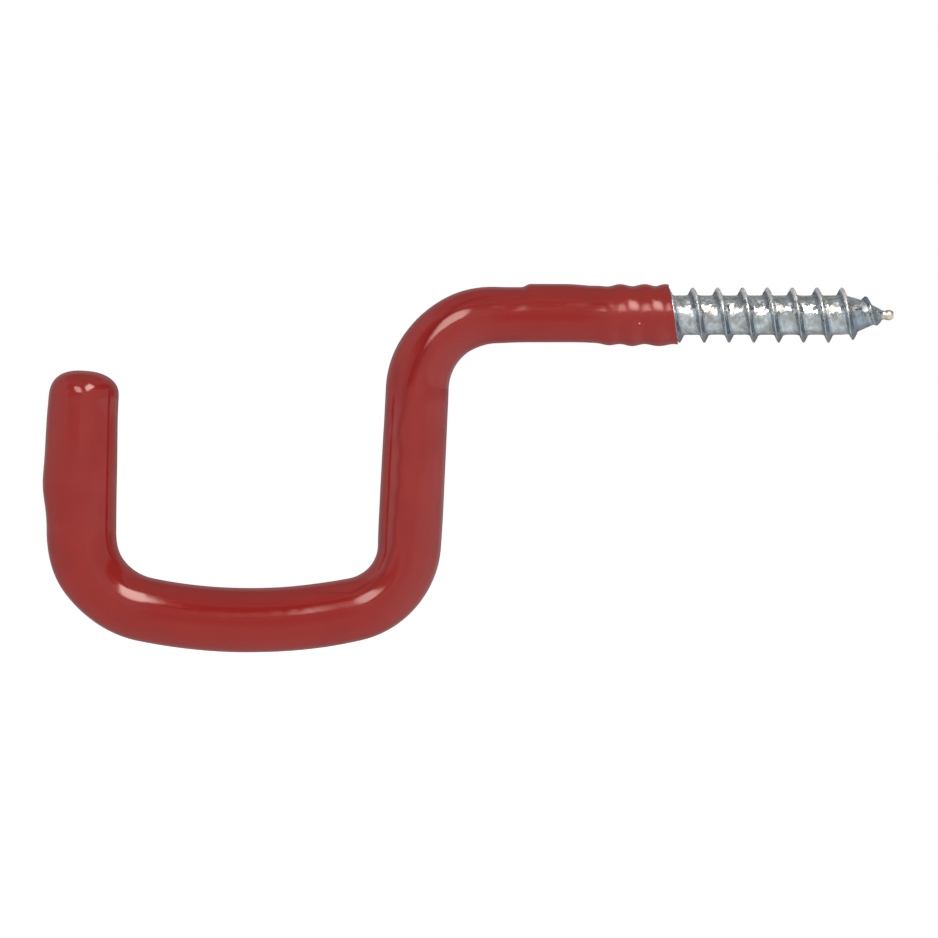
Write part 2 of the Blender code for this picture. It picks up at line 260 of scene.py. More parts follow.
class RodPath:
    """The rod's centreline, as legs that run straight or turn at one radius.

    A turn is anticlockwise seen from the front. Side 0 of the rod faces out of the hook, side 90 faces back
    and side 270 faces the camera.
    """

    def __init__(self, rod):
        shapes = (
            ("shank", rod.shank_length, 0.0),
            ("shoulder", rod.shoulder_radius * rod.shoulder_turn, rod.shoulder_turn),
            ("drop", rod.drop_length, 0.0),
            ("heel", rod.heel_radius * rod.heel_turn, -rod.heel_turn),
            ("seat", rod.seat_radius * rod.seat_turn, -rod.seat_turn),
            ("toe", rod.toe_radius * rod.toe_turn, -rod.toe_turn),
            ("tip", rod.tip_length, 0.0),
        )
        self.legs = []
        self.end = 0.0
        for name, span, turn in shapes:
            self.legs.append(Leg(name, self.end, span, turn))
            self.end += span

    def at(self, name, share=0.0):
        """Distance along the rod of a place on a leg."""
        leg = next(leg for leg in self.legs if leg.name == name)
        return leg.start + leg.length * share

    def place(self, along):
        """The frame of a section: X out of the hook, Y back, and Z towards the wall."""
        x = 0.0
        z = 0.0
        heading = pi
        for leg in self.legs:
            step = along - leg.start
            if leg.name != "tip":
                step = min(step, leg.length)
            if leg.turn:
                curvature = leg.turn / leg.length
                turned = heading + curvature * step
                x += (sin(turned) - sin(heading)) / curvature
                z -= (cos(turned) - cos(heading)) / curvature
                heading = turned
            else:
                x += step * cos(heading)
                z += step * sin(heading)
            if along <= leg.start + leg.length:
                break
        across = cos(heading)
        up = sin(heading)
        rows = ((-up, 0.0, -across, x), (0.0, 1.0, 0.0, 0.0), (across, 0.0, -up, z), (0.0, 0.0, 0.0, 1.0))
        return Matrix(rows)


def smooth(share):
    """Eases from 0 to 1."""
    share = min(1.0, max(0.0, share))
    return share * share * (3.0 - 2.0 * share)


def uneven(mean, swing, *place):
    """A soft random value around a mean, and never below 0."""
    return max(0.0, mean + swing * noise.noise(place))


# A sag or a dimple in the dipped vinyl: its leg and the share of it where it lies, its side in radians,
# its reach along the rod, its spread around the rod in radians, and its height
Sag = namedtuple("Sag", "leg share side reach spread height")
SAGS = (
    Sag("toe", 0.66, 0.0, 0.0033, 1.1, 0.00034),
    Sag("tip", 0.29, 0.0, 0.0034, 1.0, 0.00044),
    Sag("tip", 0.50, 0.0, 0.0065, 1.2, 0.00040),
    Sag("tip", 0.96, radians(268.0), 0.0080, 0.55, -0.00028),
)

# The small notch beside the seam on the shoulder, darkened with painted shade
NOTCH = Sag("shoulder", 0.93, radians(224.0), 0.0015, 0.15, -0.00010)

# The seam where vinyl lapped over itself, as points along the rod: their side in degrees, the height of the
# step down to the hook's inner side, the height of the thin ridge on the seam, and the width of the
# painted shade in its crease
Seam = namedtuple("Seam", "leg share side step ridge crease", defaults=(0.0, 0.0, 0.0))
SEAM = (
    Seam("shank", 0.62, 216.0),
    Seam("shank", 0.74, 219.0, 0.0, 0.000115),
    Seam("shank", 0.96, 230.0, 0.0, 0.000115),
    Seam("shoulder", 0.16, 231.0, 0.000015, 0.000010, 0.0002),
    Seam("shoulder", 0.52, 246.0, 0.000050, 0.0, 0.0008),
    Seam("shoulder", 0.78, 255.0, 0.000080, 0.0, 0.0010),
    Seam("drop", 0.03, 246.0, 0.000085, 0.0, 0.0006),
    Seam("drop", 0.32, 238.0, 0.000070, 0.0, 0.0004),
    Seam("drop", 0.55, 243.0, 0.000060, 0.0, 0.0004),
    Seam("drop", 0.88, 240.0, 0.000060, 0.0, 0.0004),
    Seam("heel", 0.35, 234.0, 0.000060, 0.0, 0.0004),
    Seam("heel", 0.80, 232.0, 0.000020, 0.0, 0.0002),
    Seam("seat", 0.22, 229.0, 0.0, 0.000090),
    Seam("seat", 0.55, 223.0, 0.0, 0.000090),
    Seam("seat", 0.70, 222.0),
)

# How wide the step's edge is, how far the seam wanders, how far the lapped layer reaches around the rod and
# how softly it ends there, how wide a thin ridge is, and the step at which the film covers fully
SEAM_EDGE = 0.00045
SEAM_WANDER = 0.00060
SEAM_REACH = radians(85.0)
REACH_FADE = 0.4
RIDGE_WIDTH = 0.00028
FULL_STEP = 0.000070

# A thin ridge that vinyl left as it ran along a leg, between two shares of it and at a side in degrees
Run = namedtuple("Run", "leg start end side width height")
RUNS = (Run("seat", 0.18, 0.76, 253.0, 0.00032, 0.000020),)

# A band of painted shade, a deeper red along the vinyl's front face: its leg, the shares of it between which
# it lies, its side in degrees and its spread around the rod in degrees
ShadeBand = namedtuple("ShadeBand", "leg start end side spread")
SHADE_BANDS = (ShadeBand("shank", 0.45, 1.0, 270.0, 14.0), ShadeBand("seat", 0.0, 1.0, 261.0, 20.0))

# Lengths over which a band of painted shade, and a film or a thin ridge, fade in, and the width of the
# film's painted sheen with its soft edge
BAND_FADE = 0.004
MARK_FADE = 0.003
FILM_WIDTH = 0.0020
FILM_FADE = 0.0010


class CoatForm:
    """The vinyl's outer form, as a radius around the rod's centreline."""

    def __init__(self, path, rod, screw, coat):
        self.path = path
        self.screw = screw
        self.coat = coat
        self.rod_radius = rod.diameter / 2
        self.run_top = path.at("shank", 1.0) - coat.run_stop
        self.seam = [(path.at(point.leg, point.share), point) for point in SEAM]
        knots = (
            ("shank", 0.9, coat.on_shank),
            ("shoulder", 0.3, coat.on_shoulder),
            ("drop", 0.1, coat.on_drop),
            ("drop", 0.8, coat.on_drop_end),
            ("heel", 0.45, coat.on_heel),
            ("seat", 0.2, coat.on_seat),
            ("seat", 0.9, coat.on_seat),
            ("toe", 0.5, coat.on_toe),
            ("tip", 0.0, coat.on_tip),
            ("tip", 1.0, coat.on_end),
        )
        self.knots = [(path.at(leg, share), thickness) for leg, share, thickness in knots]

    def thickness(self, along):
        """Mean thickness over the plain rod."""
        if along <= self.knots[0][0]:
            return self.knots[0][1]
        for (start, before), (end, after) in zip(self.knots, self.knots[1:]):
            if along <= end:
                return before + (after - before) * smooth((along - start) / (end - start))
        return self.knots[-1][1]

    def near(self, sag, along, side):
        """1 in the middle of a sag, and 0 far from it."""
        away = (along - self.path.at(sag.leg, sag.share)) / sag.reach
        around = remainder(side - sag.side, tau) / sag.spread
        return exp(-away * away - around * around)

    def sags(self, along, side):
        """Height of the sags and dimples."""
        return sum(sag.height * self.near(sag, along, side) for sag in (*SAGS, NOTCH))

    def within(self, mark, along, fade, ahead=0.0):
        """1 between a mark's ends, and 0 beyond. The fade reaches past the ends by a share of itself."""
        start = self.path.at(mark.leg, mark.start)
        end = self.path.at(mark.leg, mark.end)
        return smooth((along - start) / fade + ahead) * smooth((end - along) / fade + ahead)

    def face_shade_at(self, along, side):
        """How deep the painted shade of a band is at a place, from 0 to 1."""
        amount = 0.0
        for face_shade in SHADE_BANDS:
            around = remainder(side - radians(face_shade.side), tau) / radians(face_shade.spread)
            amount = max(amount, self.within(face_shade, along, BAND_FADE, 0.5) * exp(-(around**4)))
        return amount

    def shank_run(self, along, side):
        """Vinyl that ran to the top of the shank while it set."""
        coat = self.coat
        start = self.screw.hidden_thread - coat.run_lead
        up = (1.0 - cos(side)) / 2
        amount = smooth((along - start) / coat.run_rise)
        amount *= 1.0 - smooth((along - self.run_top) / (coat.run_step * (4.0 - 3.0 * up)))
        return amount * (coat.run_height * up**4 - coat.run_thinning * (1.0 - up) ** 4)

    def seam_at(self, along):
        """The seam's side in radians, its step, ridge and crease at a distance along the rod."""
        for (start, before), (end, after) in zip(self.seam, self.seam[1:]):
            if start <= along <= end:
                share = smooth((along - start) / (end - start))
                side, *rest = (low + (high - low) * share for low, high in zip(before[2:], after[2:]))
                return radians(side), *rest
        return 0.0, 0.0, 0.0, 0.0

    def from_seam(self, along, side):
        """How far a place is from the seam around the rod, as an angle and as a length."""
        around = remainder(side - self.seam_at(along)[0], tau)
        radius = self.rod_radius + self.thickness(along)
        return around, radius * around - SEAM_WANDER * noise.noise((along * SEAM_WAVES, 0.0, 5.0))

    def film_sheen(self, along, side):
        """How much of the lapped film's painted sheen covers a place beside the seam, from 0 to 1."""
        share = min(1.0, self.seam_at(along)[1] / FULL_STEP)
        share *= smooth((along - self.path.at("drop", 0.04)) / MARK_FADE)
        share *= uneven(0.75, 0.7, along * FILM_WAVES, 0.0, 1.0)
        _, away = self.from_seam(along, side)
        return share * smooth(0.5 - away / SEAM_EDGE) * smooth((away + FILM_WIDTH) / FILM_FADE)

    def crease(self, along, side):
        """How deep the painted shade in the seam's crease and the notch is at a place, from 0 to 1."""
        width = self.seam_at(along)[3]
        away = self.from_seam(along, side)[1] - width / 2
        depth = exp(-((away / width) ** 2)) if width else 0.0
        return max(depth, self.near(NOTCH, along, side))

    def lapped(self, along, side):
        """Height of the lapped vinyl, and of the thin ridges that it left."""
        patchy = uneven(0.6, 1.1, along * RIDGE_WAVES, 0.0, 3.0)
        radius = self.rod_radius + self.thickness(along)
        height = 0.0
        _, step, ridge, _ = self.seam_at(along)
        if step or ridge:
            around, away = self.from_seam(along, side)
            layer = step * smooth(0.5 - away / SEAM_EDGE) * smooth((around + SEAM_REACH) / REACH_FADE)
            drape = uneven(1.0, 0.45, along * DRAPE_WAVES, around * 2.0, 9.0)
            height += ridge * patchy * exp(-((away / RIDGE_WIDTH) ** 2)) - layer * drape
        for run in RUNS:
            away = radius * remainder(side - radians(run.side), tau)
            amount = self.within(run, along, MARK_FADE)
            height += run.height * amount * patchy * exp(-((away / run.width) ** 2))
        return height

    def radius(self, along, side):
        """The outer radius at a distance along the rod and a side in radians."""
        on_rod = self.rod_radius + self.thickness(along)
        on_rod += self.sags(along, side)
        on_rod += self.shank_run(along, side)
        pitch = self.screw.pitch
        phase = tau * (along + self.screw.first_crest + self.coat.ripple_lag) / pitch + side + pi
        phase -= RIPPLE_LEAD * sin(side)
        front = self.coat.ripple_front * (1.0 - smooth((along - self.coat.front_end) / pitch))
        depth = front + (1.0 - front) * cos(side) ** 2
        dip = self.coat.ripple * (1.0 - depth * cos(phase)) / 2
        thinning = self.coat.front_thinning * sin(side) ** 2
        on_thread = self.screw.thread_diameter / 2 + self.coat.on_crest - dip - thinning
        hidden = self.screw.hidden_thread
        past_thread = smooth((along - hidden + self.screw.run_out) / (self.screw.run_out + pitch / 2))
        waves = noise.noise((along * COAT_WAVES, 0.8 * cos(side), 0.8 * sin(side))) - 1.0
        plain = on_thread + (on_rod - on_thread) * past_thread
        return plain + self.lapped(along, side) + self.coat.wander * waves * past_thread


def shade(mesh):
    """Smooths a mesh's shading but for its sharp edges."""
    mesh.shade_smooth()
    mesh.set_sharp_from_angle(angle=SHARP_EDGE)


def new_object(name, bm, material=None):
    """Makes an object of a closed mesh, facing out."""
    bmesh.ops.recalc_face_normals(bm, faces=bm.faces)
    mesh = bpy.data.meshes.new(name)
    bm.to_mesh(mesh)
    bm.free()
    shade(mesh)
    if material:
        mesh.materials.append(material)
    made = bpy.data.objects.new(name, mesh)
    bpy.context.scene.collection.objects.link(made)
    return made


def combine(obj, operation, other):
    """Joins or cuts an object with another, keeps the result as its mesh and removes the other."""
    modifier = obj.modifiers.new(other.name, "BOOLEAN")
    modifier.operation = operation
    modifier.solver = "EXACT"
    modifier.object = other
    evaluated = obj.evaluated_get(bpy.context.evaluated_depsgraph_get())
    mesh = bpy.data.meshes.new_from_object(evaluated)
    obj.modifiers.clear()
    obj.data = mesh
    shade(mesh)
    bpy.data.objects.remove(other, do_unlink=True)


def edges_in(items):
    return [item for item in items if isinstance(item, bmesh.types.BMEdge)]


def first_ring(bm, sides):
    """A ring of vertices with its edges. Each vertex keeps its side of the rod in a layer."""
    layer = bm.verts.layers.float.new("side")
    ring = bmesh.ops.create_circle(bm, radius=1.0, segments=sides)["verts"]
    for vert in ring:
        vert[layer] = atan2(vert.co.y, vert.co.x) % tau
    return layer, ring, list(bm.edges)


def next_ring(bm, edges):
    """Extrudes a ring of edges, and gives the new ring."""
    made = bmesh.ops.extrude_edge_only(bm, edges=edges)["geom"]
    verts = {item for item in made if isinstance(item, bmesh.types.BMVert)}
    return list(verts), [edge for edge in edges_in(made) if set(edge.verts) <= verts]


def lay_ring(ring, layer, point_at):
    """Puts each vertex of a ring where its side says."""
    for vert in ring:
        vert.co = point_at(vert[layer])


def spaced(start, end, step):
    """Distances from a start, without it, to an end, at most a step apart."""
    count = max(1, ceil((end - start) / step))
    return [start + (end - start) * (i + 1) / count for i in range(count)]


def coat_solid(path, form, coat):
    """The vinyl's outside: a ring of vertices extruded from its slanted end to its domed tip."""
    bm = bmesh.new()
    # Painted sheen and shade for the vinyl's colour, kept on each vertex: on the film, in the crease, along
    # the faces
    marks = {"film_sheen": form.film_sheen, "crease": form.crease, "face_shade": form.face_shade_at}
    for name in marks:
        bm.verts.layers.float.new(name)
    layer, ring, edges = first_ring(bm, COAT_SIDES)
    slant = tan(coat.end_slant)
    top = path.end + coat.on_end
    dome_start = top - coat.dome_depth

    def point(along, side, inset=0.0, narrowing=1.0):
        """A point of the surface, or nearer to the rod by an inset or by a share."""
        leaning = 1.0 - smooth(along / coat.slant_reach)
        edge = form.radius(0.0, side) - inset
        ragged = MOUTH_RAGGED * noise.noise((2.5 * cos(side), 2.5 * sin(side), 7.0))
        shifted = along - leaning * (edge * cos(side) * slant + ragged)
        radius = (form.radius(along, side) - inset) * narrowing
        leaned = smooth((along - dome_start) / coat.dome_depth)
        shifted += leaned * coat.dome_lean * radius * cos(side)
        settled = smooth((along - dome_start + coat.dome_depth) / coat.dome_depth / 2)
        arm = Vector((radius * cos(side) - settled * coat.dome_shift, radius * sin(side), 0.0))
        return path.place(shifted) @ arm

    def lay(along, inset=0.0, narrowing=1.0):
        """Puts the ring in its place and marks its vertices."""
        lay_ring(ring, layer, lambda side: point(along, side, inset, narrowing))
        for name, amount in marks.items():
            mark = bm.verts.layers.float[name]
            for vert in ring:
                vert[mark] = amount(along, vert[layer])

    hub_inset = form.radius(0.0, 0.0) - MOUTH_HUB
    lay(0.0, hub_inset)
    bmesh.ops.edgeloop_fill(bm, edges=edges)
    lip = coat.end_round
    for share in (0.0, 0.25, 0.5, 0.75, 1.0):
        turn = share * pi / 2
        ring, edges = next_ring(bm, edges)
        lay(lip * (1.0 - cos(turn)), lip * (1.0 - sin(turn)))
    for along in spaced(lip, dome_start, COAT_STEP):
        ring, edges = next_ring(bm, edges)
        lay(along)
    last = pi / 2 - coat.dome_flat
    power = 2.0 / coat.dome_square
    for i in range(1, DOME_STEPS + 1):
        turn = last * i / DOME_STEPS
        ring, edges = next_ring(bm, edges)
        below = coat.dome_depth * (1.0 - (sin(turn) / sin(last)) ** power)
        lay(top - below, 0.0, cos(turn) ** power)
    bmesh.ops.pointmerge(bm, verts=ring, merge_co=point(top, 0.0, 0.0, 0.0))
    return bm


def rod_solid(path, rod, screw, gap):
    """The bent rod, from a cone inside the screw's core to its cut end. A gap grows it for the bore."""
    bm = bmesh.new()
    layer, ring, edges = first_ring(bm, ROD_SIDES)
    radius = rod.diameter / 2 + gap
    end = path.end + gap
    root = screw.hidden_thread - screw.shank_cone
    core = screw.core_diameter / 2 - CORE_OVERLAP
    stations = [(root, core)] + [(along, radius) for along in spaced(root, screw.hidden_thread, 1.0)]
    stations += [(along, radius) for along in spaced(screw.hidden_thread, end - rod.chamfer, ROD_STEP)]
    stations.append((end, radius - rod.chamfer))
    for i, (along, wide) in enumerate(stations):
        if i:
            ring, edges = next_ring(bm, edges)
        place = path.place(along)
        lay_ring(ring, layer, lambda side: place @ Vector((wide * cos(side), wide * sin(side), 0.0)))
        if i in (0, len(stations) - 1):
            bmesh.ops.edgeloop_fill(bm, edges=edges)
    return bm


class ThreadForm:
    """The screw's radii along its axis."""

    def __init__(self, rod, screw):
        self.screw = screw
        self.rod_diameter = rod.diameter
        self.start = -screw.hidden_thread - screw.shank_cone
        self.nub_start = screw.screw_length - screw.nub_length
        self.full = (screw.thread_diameter - screw.core_diameter) / 2

    def core(self, x):
        """Radius at the thread's root, which tapers to the nub at the point."""
        screw = self.screw
        core = screw.core_diameter / 2
        nub = screw.nub_diameter / 2
        into_point = (x - self.nub_start) / screw.point_length + 1.0
        neck = NECK_SHARE * nub
        if into_point <= 0.0:
            return core
        if into_point < 1.0:
            return neck + (core - neck) * (1.0 - into_point**screw.point_fullness)
        into_nub = min(1.0, (x - self.nub_start) / screw.nub_length)
        rounded = max(0.0, (into_nub - 0.6) / 0.4)
        return (neck + (nub - neck) * smooth(into_nub / 0.45)) * sqrt(1.0 - 0.75 * rounded * rounded)

    def height(self, x):
        """Height of the crest over the root, which fades on the point and under the vinyl."""
        screw = self.screw
        inside_rod = (self.rod_diameter - screw.core_diameter) / 4
        out_of_rod = smooth((x + screw.hidden_thread) / screw.run_out)
        to_nub = (self.nub_start - x) / screw.fade_length
        return (inside_rod + (self.full - inside_rod) * out_of_rod) * sqrt(min(1.0, max(0.0, to_nub)))

    def profile(self, gap):
        """One pitch of the thread as (distance, height) pairs, with a height of 1 at the crest."""
        screw = self.screw
        full = self.full
        lean = tan(screw.flank_angle)
        grown = gap * (1.0 - sin(screw.flank_angle)) / cos(screw.flank_angle)
        crest = screw.crest_width / 2 + grown
        foot = crest + full * lean
        fillet = screw.root_fillet
        rounding = screw.crest_round
        left = [(-screw.pitch / 2, 0.0), (-(screw.pitch / 2 + foot + fillet) / 2, 0.0)]
        for share in (0.0, 0.3, 0.6, 1.0):
            rise = share * share * fillet * sin(screw.flank_angle)
            left.append((-foot - fillet * (1.0 - share) + rise, 0.45 * rise / full / lean))
        left.append((-crest - (full - rounding) * lean / 2, 0.5))
        left.append((-crest - rounding * lean * 0.9, 1.0 - rounding / full))
        left.append((-crest * 0.75, 1.0 - 0.3 * rounding / full))
        left.append((-crest * 0.3, 1.0))
        return left + [(-x, height) for x, height in reversed(left)]


def thread_solid(form, end, gap, steps, dents):
    """The screw's core with its thread, spun from one pitch's profile and cut flat at both ends."""
    screw = form.screw
    start = form.start
    bm = bmesh.new()
    first = int((start - screw.first_crest) // screw.pitch) - 1
    turns = ceil((end - screw.first_crest) / screw.pitch) + 1 - first
    x = screw.first_crest + first * screw.pitch
    verts = [bm.verts.new((x + dx, 0.0, 1.0 + height)) for dx, height in form.profile(gap)]
    edges = [bm.edges.new(pair) for pair in zip(verts, verts[1:])]
    bmesh.ops.spin(
        bm,
        geom=verts + edges,
        cent=(0.0, 0.0, 0.0),
        axis=(1.0, 0.0, 0.0),
        dvec=(screw.pitch / steps, 0.0, 0.0),
        angle=tau * turns,
        steps=steps * turns,
        use_duplicate=False,
    )
    bmesh.ops.remove_doubles(bm, verts=bm.verts, dist=screw.crest_width / 40)
    for vert in bm.verts:
        spun = hypot(vert.co.y, vert.co.z)
        radius = form.core(vert.co.x) + gap + (spun - 1.0) * form.height(vert.co.x)
        way = Vector((vert.co.x, vert.co.y / spun * radius, vert.co.z / spun * radius))
        if dents:
            for waves, share in DENTS:
                radius += screw.dent_depth * noise.noise(way * waves) * share
        vert.co.y *= radius / spun
        vert.co.z *= radius / spun
        vert.co.x += screw.turn_lean * vert.co.z
    cut_flat(bm, start, -1.0)
    cut_flat(bm, end, 1.0)
    return bm


def cut_flat(bm, x, facing):
    """Cuts a mesh square to the screw's axis, drops what lies beyond and closes the cut."""
    geom = bm.verts[:] + bm.edges[:] + bm.faces[:]
    cut = bmesh.ops.bisect_plane(
        bm, geom=geom, dist=ON_PLANE, plane_co=(x, 0.0, 0.0), plane_no=(facing, 0.0, 0.0), clear_outer=True
    )
    bmesh.ops.edgeloop_fill(bm, edges=edges_in(cut["geom_cut"]))


WHITE = (1.0, 1.0, 1.0, 1.0)


def rgba(values):
    return (*values, 1.0)


def put(made, values):
    """Sets a node's inputs, each from a socket or to a plain value."""
    for name, value in values.items():
        if isinstance(value, bpy.types.NodeSocket):
            made.id_data.links.new(value, made.inputs[name])
        else:
            made.inputs[name].default_value = value


def add_node(tree, kind, values=None, **settings):
    """A node with its settings and its inputs."""
    made = tree.nodes.new(kind)
    for name, value in settings.items():
        setattr(made, name, value)
    put(made, values or {})
    return made


def new_material(name):
    """An empty node material with a Principled shader. Gives the material, its tree and the shader."""
    material = bpy.data.materials.new(name)
    material.use_nodes = True
    tree = material.node_tree
    return material, tree, tree.nodes["Principled BSDF"]


def maths(tree, operation, *values):
    """The result of a Math node."""
    return add_node(tree, "ShaderNodeMath", dict(enumerate(values)), operation=operation).outputs[0]


def vector_maths(tree, operation, *values):
    """The outputs of a Vector Math node, which are Vector and Value."""
    return add_node(tree, "ShaderNodeVectorMath", dict(enumerate(values)), operation=operation).outputs


def axes_of(tree, vector):
    """A vector's X, Y and Z."""
    return add_node(tree, "ShaderNodeSeparateXYZ", {0: vector}).outputs


def product(tree, *factors):
    """The factors multiplied together."""
    result = factors[0]
    for factor in factors[1:]:
        result = maths(tree, "MULTIPLY", result, factor)
    return result


def between(tree, value, low, high, to_low=0.0, to_high=1.0):
    """A value mapped smoothly from one range to another."""
    values = {"Value": value, "From Min": low, "From Max": high, "To Min": to_low, "To Max": to_high}
    return add_node(tree, "ShaderNodeMapRange", values, interpolation_type="SMOOTHSTEP").outputs["Result"]


def mix(tree, mask, low, high, kind="RGBA"):
    """Mixes two colours, or two values with the kind VALUE, each a socket or plain."""
    made = add_node(tree, "ShaderNodeMix", {"Factor": mask}, data_type="RGBA" if kind == "RGBA" else "FLOAT")
    for name, source in (("A", low), ("B", high)):
        index = next(i for i, item in enumerate(made.inputs) if item.name == name and item.type == kind)
        plain_colour = kind == "RGBA" and not isinstance(source, bpy.types.NodeSocket)
        put(made, {index: rgba(source) if plain_colour else source})
    return next(item for item in made.outputs if item.type == kind)


def new_group(name, values, result, kind):
    """A shader node group with inputs for a vector and for values, each with its default, and one result.

    Gives the group, the sockets of its inputs and its output node.
    """
    group = bpy.data.node_groups.new(name, "ShaderNodeTree")
    group.interface.new_socket("Vector", in_out="INPUT", socket_type="NodeSocketVector")
    for socket, value in values.items():
        made = group.interface.new_socket(socket, in_out="INPUT", socket_type="NodeSocketFloat")
        made.default_value = value
    group.interface.new_socket(result, in_out="OUTPUT", socket_type=kind)
    return group, group.nodes.new("NodeGroupInput").outputs, group.nodes.new("NodeGroupOutput")


def patches_group():
    """Soft uneven patches, as a mask between 0 and 1."""
    values = {"Scale": 400.0, "Detail": 3.0, "Spread": 0.15}
    group, given, out = new_group("Uneven patches", values, "Mask", "NodeSocketFloat")
    values = {name: given[name] for name in ("Vector", "Scale", "Detail")}
    cloud = add_node(group, "ShaderNodeTexNoise", {**values, "Roughness": 0.55}).outputs["Fac"]
    low = maths(group, "SUBTRACT", 0.5, given["Spread"])
    high = maths(group, "ADD", 0.5, given["Spread"])
    put(out, {"Mask": between(group, cloud, low, high)})
    return group


def relief_group():
    """Fine unevenness of a surface, at a coarse and a fine scale, as a normal."""
    values = {"Coarse scale": 500.0, "Coarse height": 0.00001, "Fine scale": 3000.0, "Fine height": 0.000002}
    group, given, out = new_group("Surface relief", values, "Normal", "NodeSocketVector")
    heights = []
    for size in ("Coarse", "Fine"):
        values = {"Vector": given["Vector"], "Scale": given[f"{size} scale"]}
        values.update({"Detail": 1.0, "Roughness": 0.35})
        cloud = add_node(group, "ShaderNodeTexNoise", values).outputs["Fac"]
        heights.append(product(group, cloud, given[f"{size} height"]))
    values = {"Height": maths(group, "ADD", *heights), "Strength": 1.0, "Distance": 1.0}
    put(out, {"Normal": add_node(group, "ShaderNodeBump", values).outputs["Normal"]})
    return group


def room_group():
    """How bright the room is in a direction. It is darker behind the hook, and darkest straight behind."""
    group, given, out = new_group("Room tone", {"Left": 0.6, "Right": 0.6}, "Brightness", "NodeSocketFloat")
    way = axes_of(group, vector_maths(group, "NORMALIZE", given["Vector"])["Vector"])
    tone = mix(group, between(group, way["X"], 0.0, 0.7), given["Left"], given["Right"], "VALUE")
    back = between(group, way["Y"], -0.1, 0.7, 1.0, BACK_TONE)
    far = between(group, way["Y"], 0.86, 0.99, 1.0, FAR_TONE)
    put(out, {"Brightness": product(group, tone, back, far)})
    return group


GROUPS = {"Uneven patches": patches_group, "Surface relief": relief_group, "Room tone": room_group}


def use_group(tree, name, vector, values):
    """The result of a node group, built at its first use, on a vector and with its own values."""
    group = bpy.data.node_groups.get(name) or GROUPS[name]()
    return add_node(tree, "ShaderNodeGroup", {"Vector": vector, **values}, node_tree=group).outputs[0]


def vinyl_material(finish):
    """Glossy dipped vinyl: slightly uneven in colour and gloss, and dull at its cut end."""
    material, tree, shader = new_material("dipped_vinyl")
    coordinates = tree.nodes.new("ShaderNodeTexCoord").outputs
    place = coordinates["Object"]
    along = axes_of(tree, place)["X"]
    facing = axes_of(tree, coordinates["Normal"])["X"]

    depth = use_group(tree, "Uneven patches", place, {"Scale": 170.0, "Detail": 2.0, "Spread": 0.22})
    red = mix(tree, depth, finish.vinyl, finish.vinyl_deep)
    # Painted light in the colour: sheen on the lapped film, shade in the seam's crease and on the front
    # faces
    tints = {"film_sheen": finish.vinyl_film_sheen, "crease": finish.vinyl_crease_shade, "face_shade": finish.vinyl_face_shade}
    for name, tint in tints.items():
        mark = add_node(tree, "ShaderNodeAttribute", attribute_name=name)
        red = mix(tree, mark.outputs["Fac"], red, tint)
    cut_end = product(tree, between(tree, facing, 0.35, 0.85), between(tree, along, *CUT_END))
    red = mix(tree, cut_end, red, finish.cut_vinyl)
    from_speck = vector_maths(tree, "DISTANCE", place, SPECK_PLACE)["Value"]
    speck = between(tree, from_speck, SPECK_SIZE / 2, SPECK_SIZE, 1.0, 0.0)
    red = mix(tree, speck, red, finish.speck)

    smudges = use_group(tree, "Uneven patches", place, {"Scale": 420.0, "Detail": 4.0, "Spread": 0.2})
    shine = finish.vinyl_roughness
    clean = between(tree, smudges, 0.0, 1.0, shine * 0.85, shine * 1.25)
    on_thread = between(tree, along, *RIPPLES_FROM)
    peel = {"Coarse scale": 650.0, "Coarse height": 3.5e-6, "Fine scale": 2600.0, "Fine height": 0.6e-6}
    values = {
        "Base Color": red,
        "Roughness": mix(tree, on_thread, clean, finish.ripple_roughness, "VALUE"),
        "Normal": use_group(tree, "Surface relief", place, peel),
        "Specular IOR Level": finish.vinyl_gloss,
    }
    put(shader, values)
    return material


def steel_material(finish):
    """Zinc-plated steel, scuffed and stained by rolling, with a bare broken end."""
    material, tree, shader = new_material("plated_steel")
    coordinates = tree.nodes.new("ShaderNodeTexCoord").outputs
    place = coordinates["Object"]
    across = vector_maths(tree, "MULTIPLY", place, (0.0, 1.0, 1.0))["Vector"]
    from_axis = vector_maths(tree, "LENGTH", across)["Value"]
    facing = axes_of(tree, coordinates["Normal"])
    over = between(tree, facing["Z"], -0.10, 0.30)
    under = between(tree, facing["Z"], -0.05, 0.35, 1.0, 0.0)
    pointward = between(tree, facing["X"], 0.10, 0.45)
    wallward = between(tree, facing["X"], -0.45, -0.10, 1.0, 0.0)

    stains = use_group(tree, "Uneven patches", place, {"Scale": 800.0, "Detail": 4.0, "Spread": 0.10})
    zinc = mix(tree, stains, finish.zinc_dull, finish.zinc)
    # Painted shade: flanks facing the point are darker below the axis, and flanks facing the wall above it
    zinc = mix(tree, product(tree, pointward, under), zinc, finish.zinc_flank_shade)
    zinc = mix(tree, product(tree, wallward, over), zinc, finish.zinc_flank_shade)
    # The crest's burnish, with a painted highlight: it turns white only where it faces up
    zinc = mix(tree, product(tree, between(tree, from_axis, *CREST_FROM), over), zinc, finish.zinc_burnish_and_highlight)
    zinc = mix(tree, between(tree, axes_of(tree, place)["X"], *BARE_FROM), zinc, finish.nub)

    scuffs = use_group(tree, "Uneven patches", place, {"Scale": 900.0, "Detail": 2.0, "Spread": 0.12})
    dull = finish.zinc_roughness
    dents = {"Coarse scale": 850.0, "Coarse height": 0.00028, "Fine scale": 2000.0, "Fine height": 0.00003}
    values = {
        "Base Color": zinc,
        "Roughness": between(tree, scuffs, 0.0, 1.0, dull * 0.6, dull * 2.0),
        "Normal": use_group(tree, "Surface relief", place, dents),
        "Metallic": 1.0,
    }
    put(shader, values)
    return material


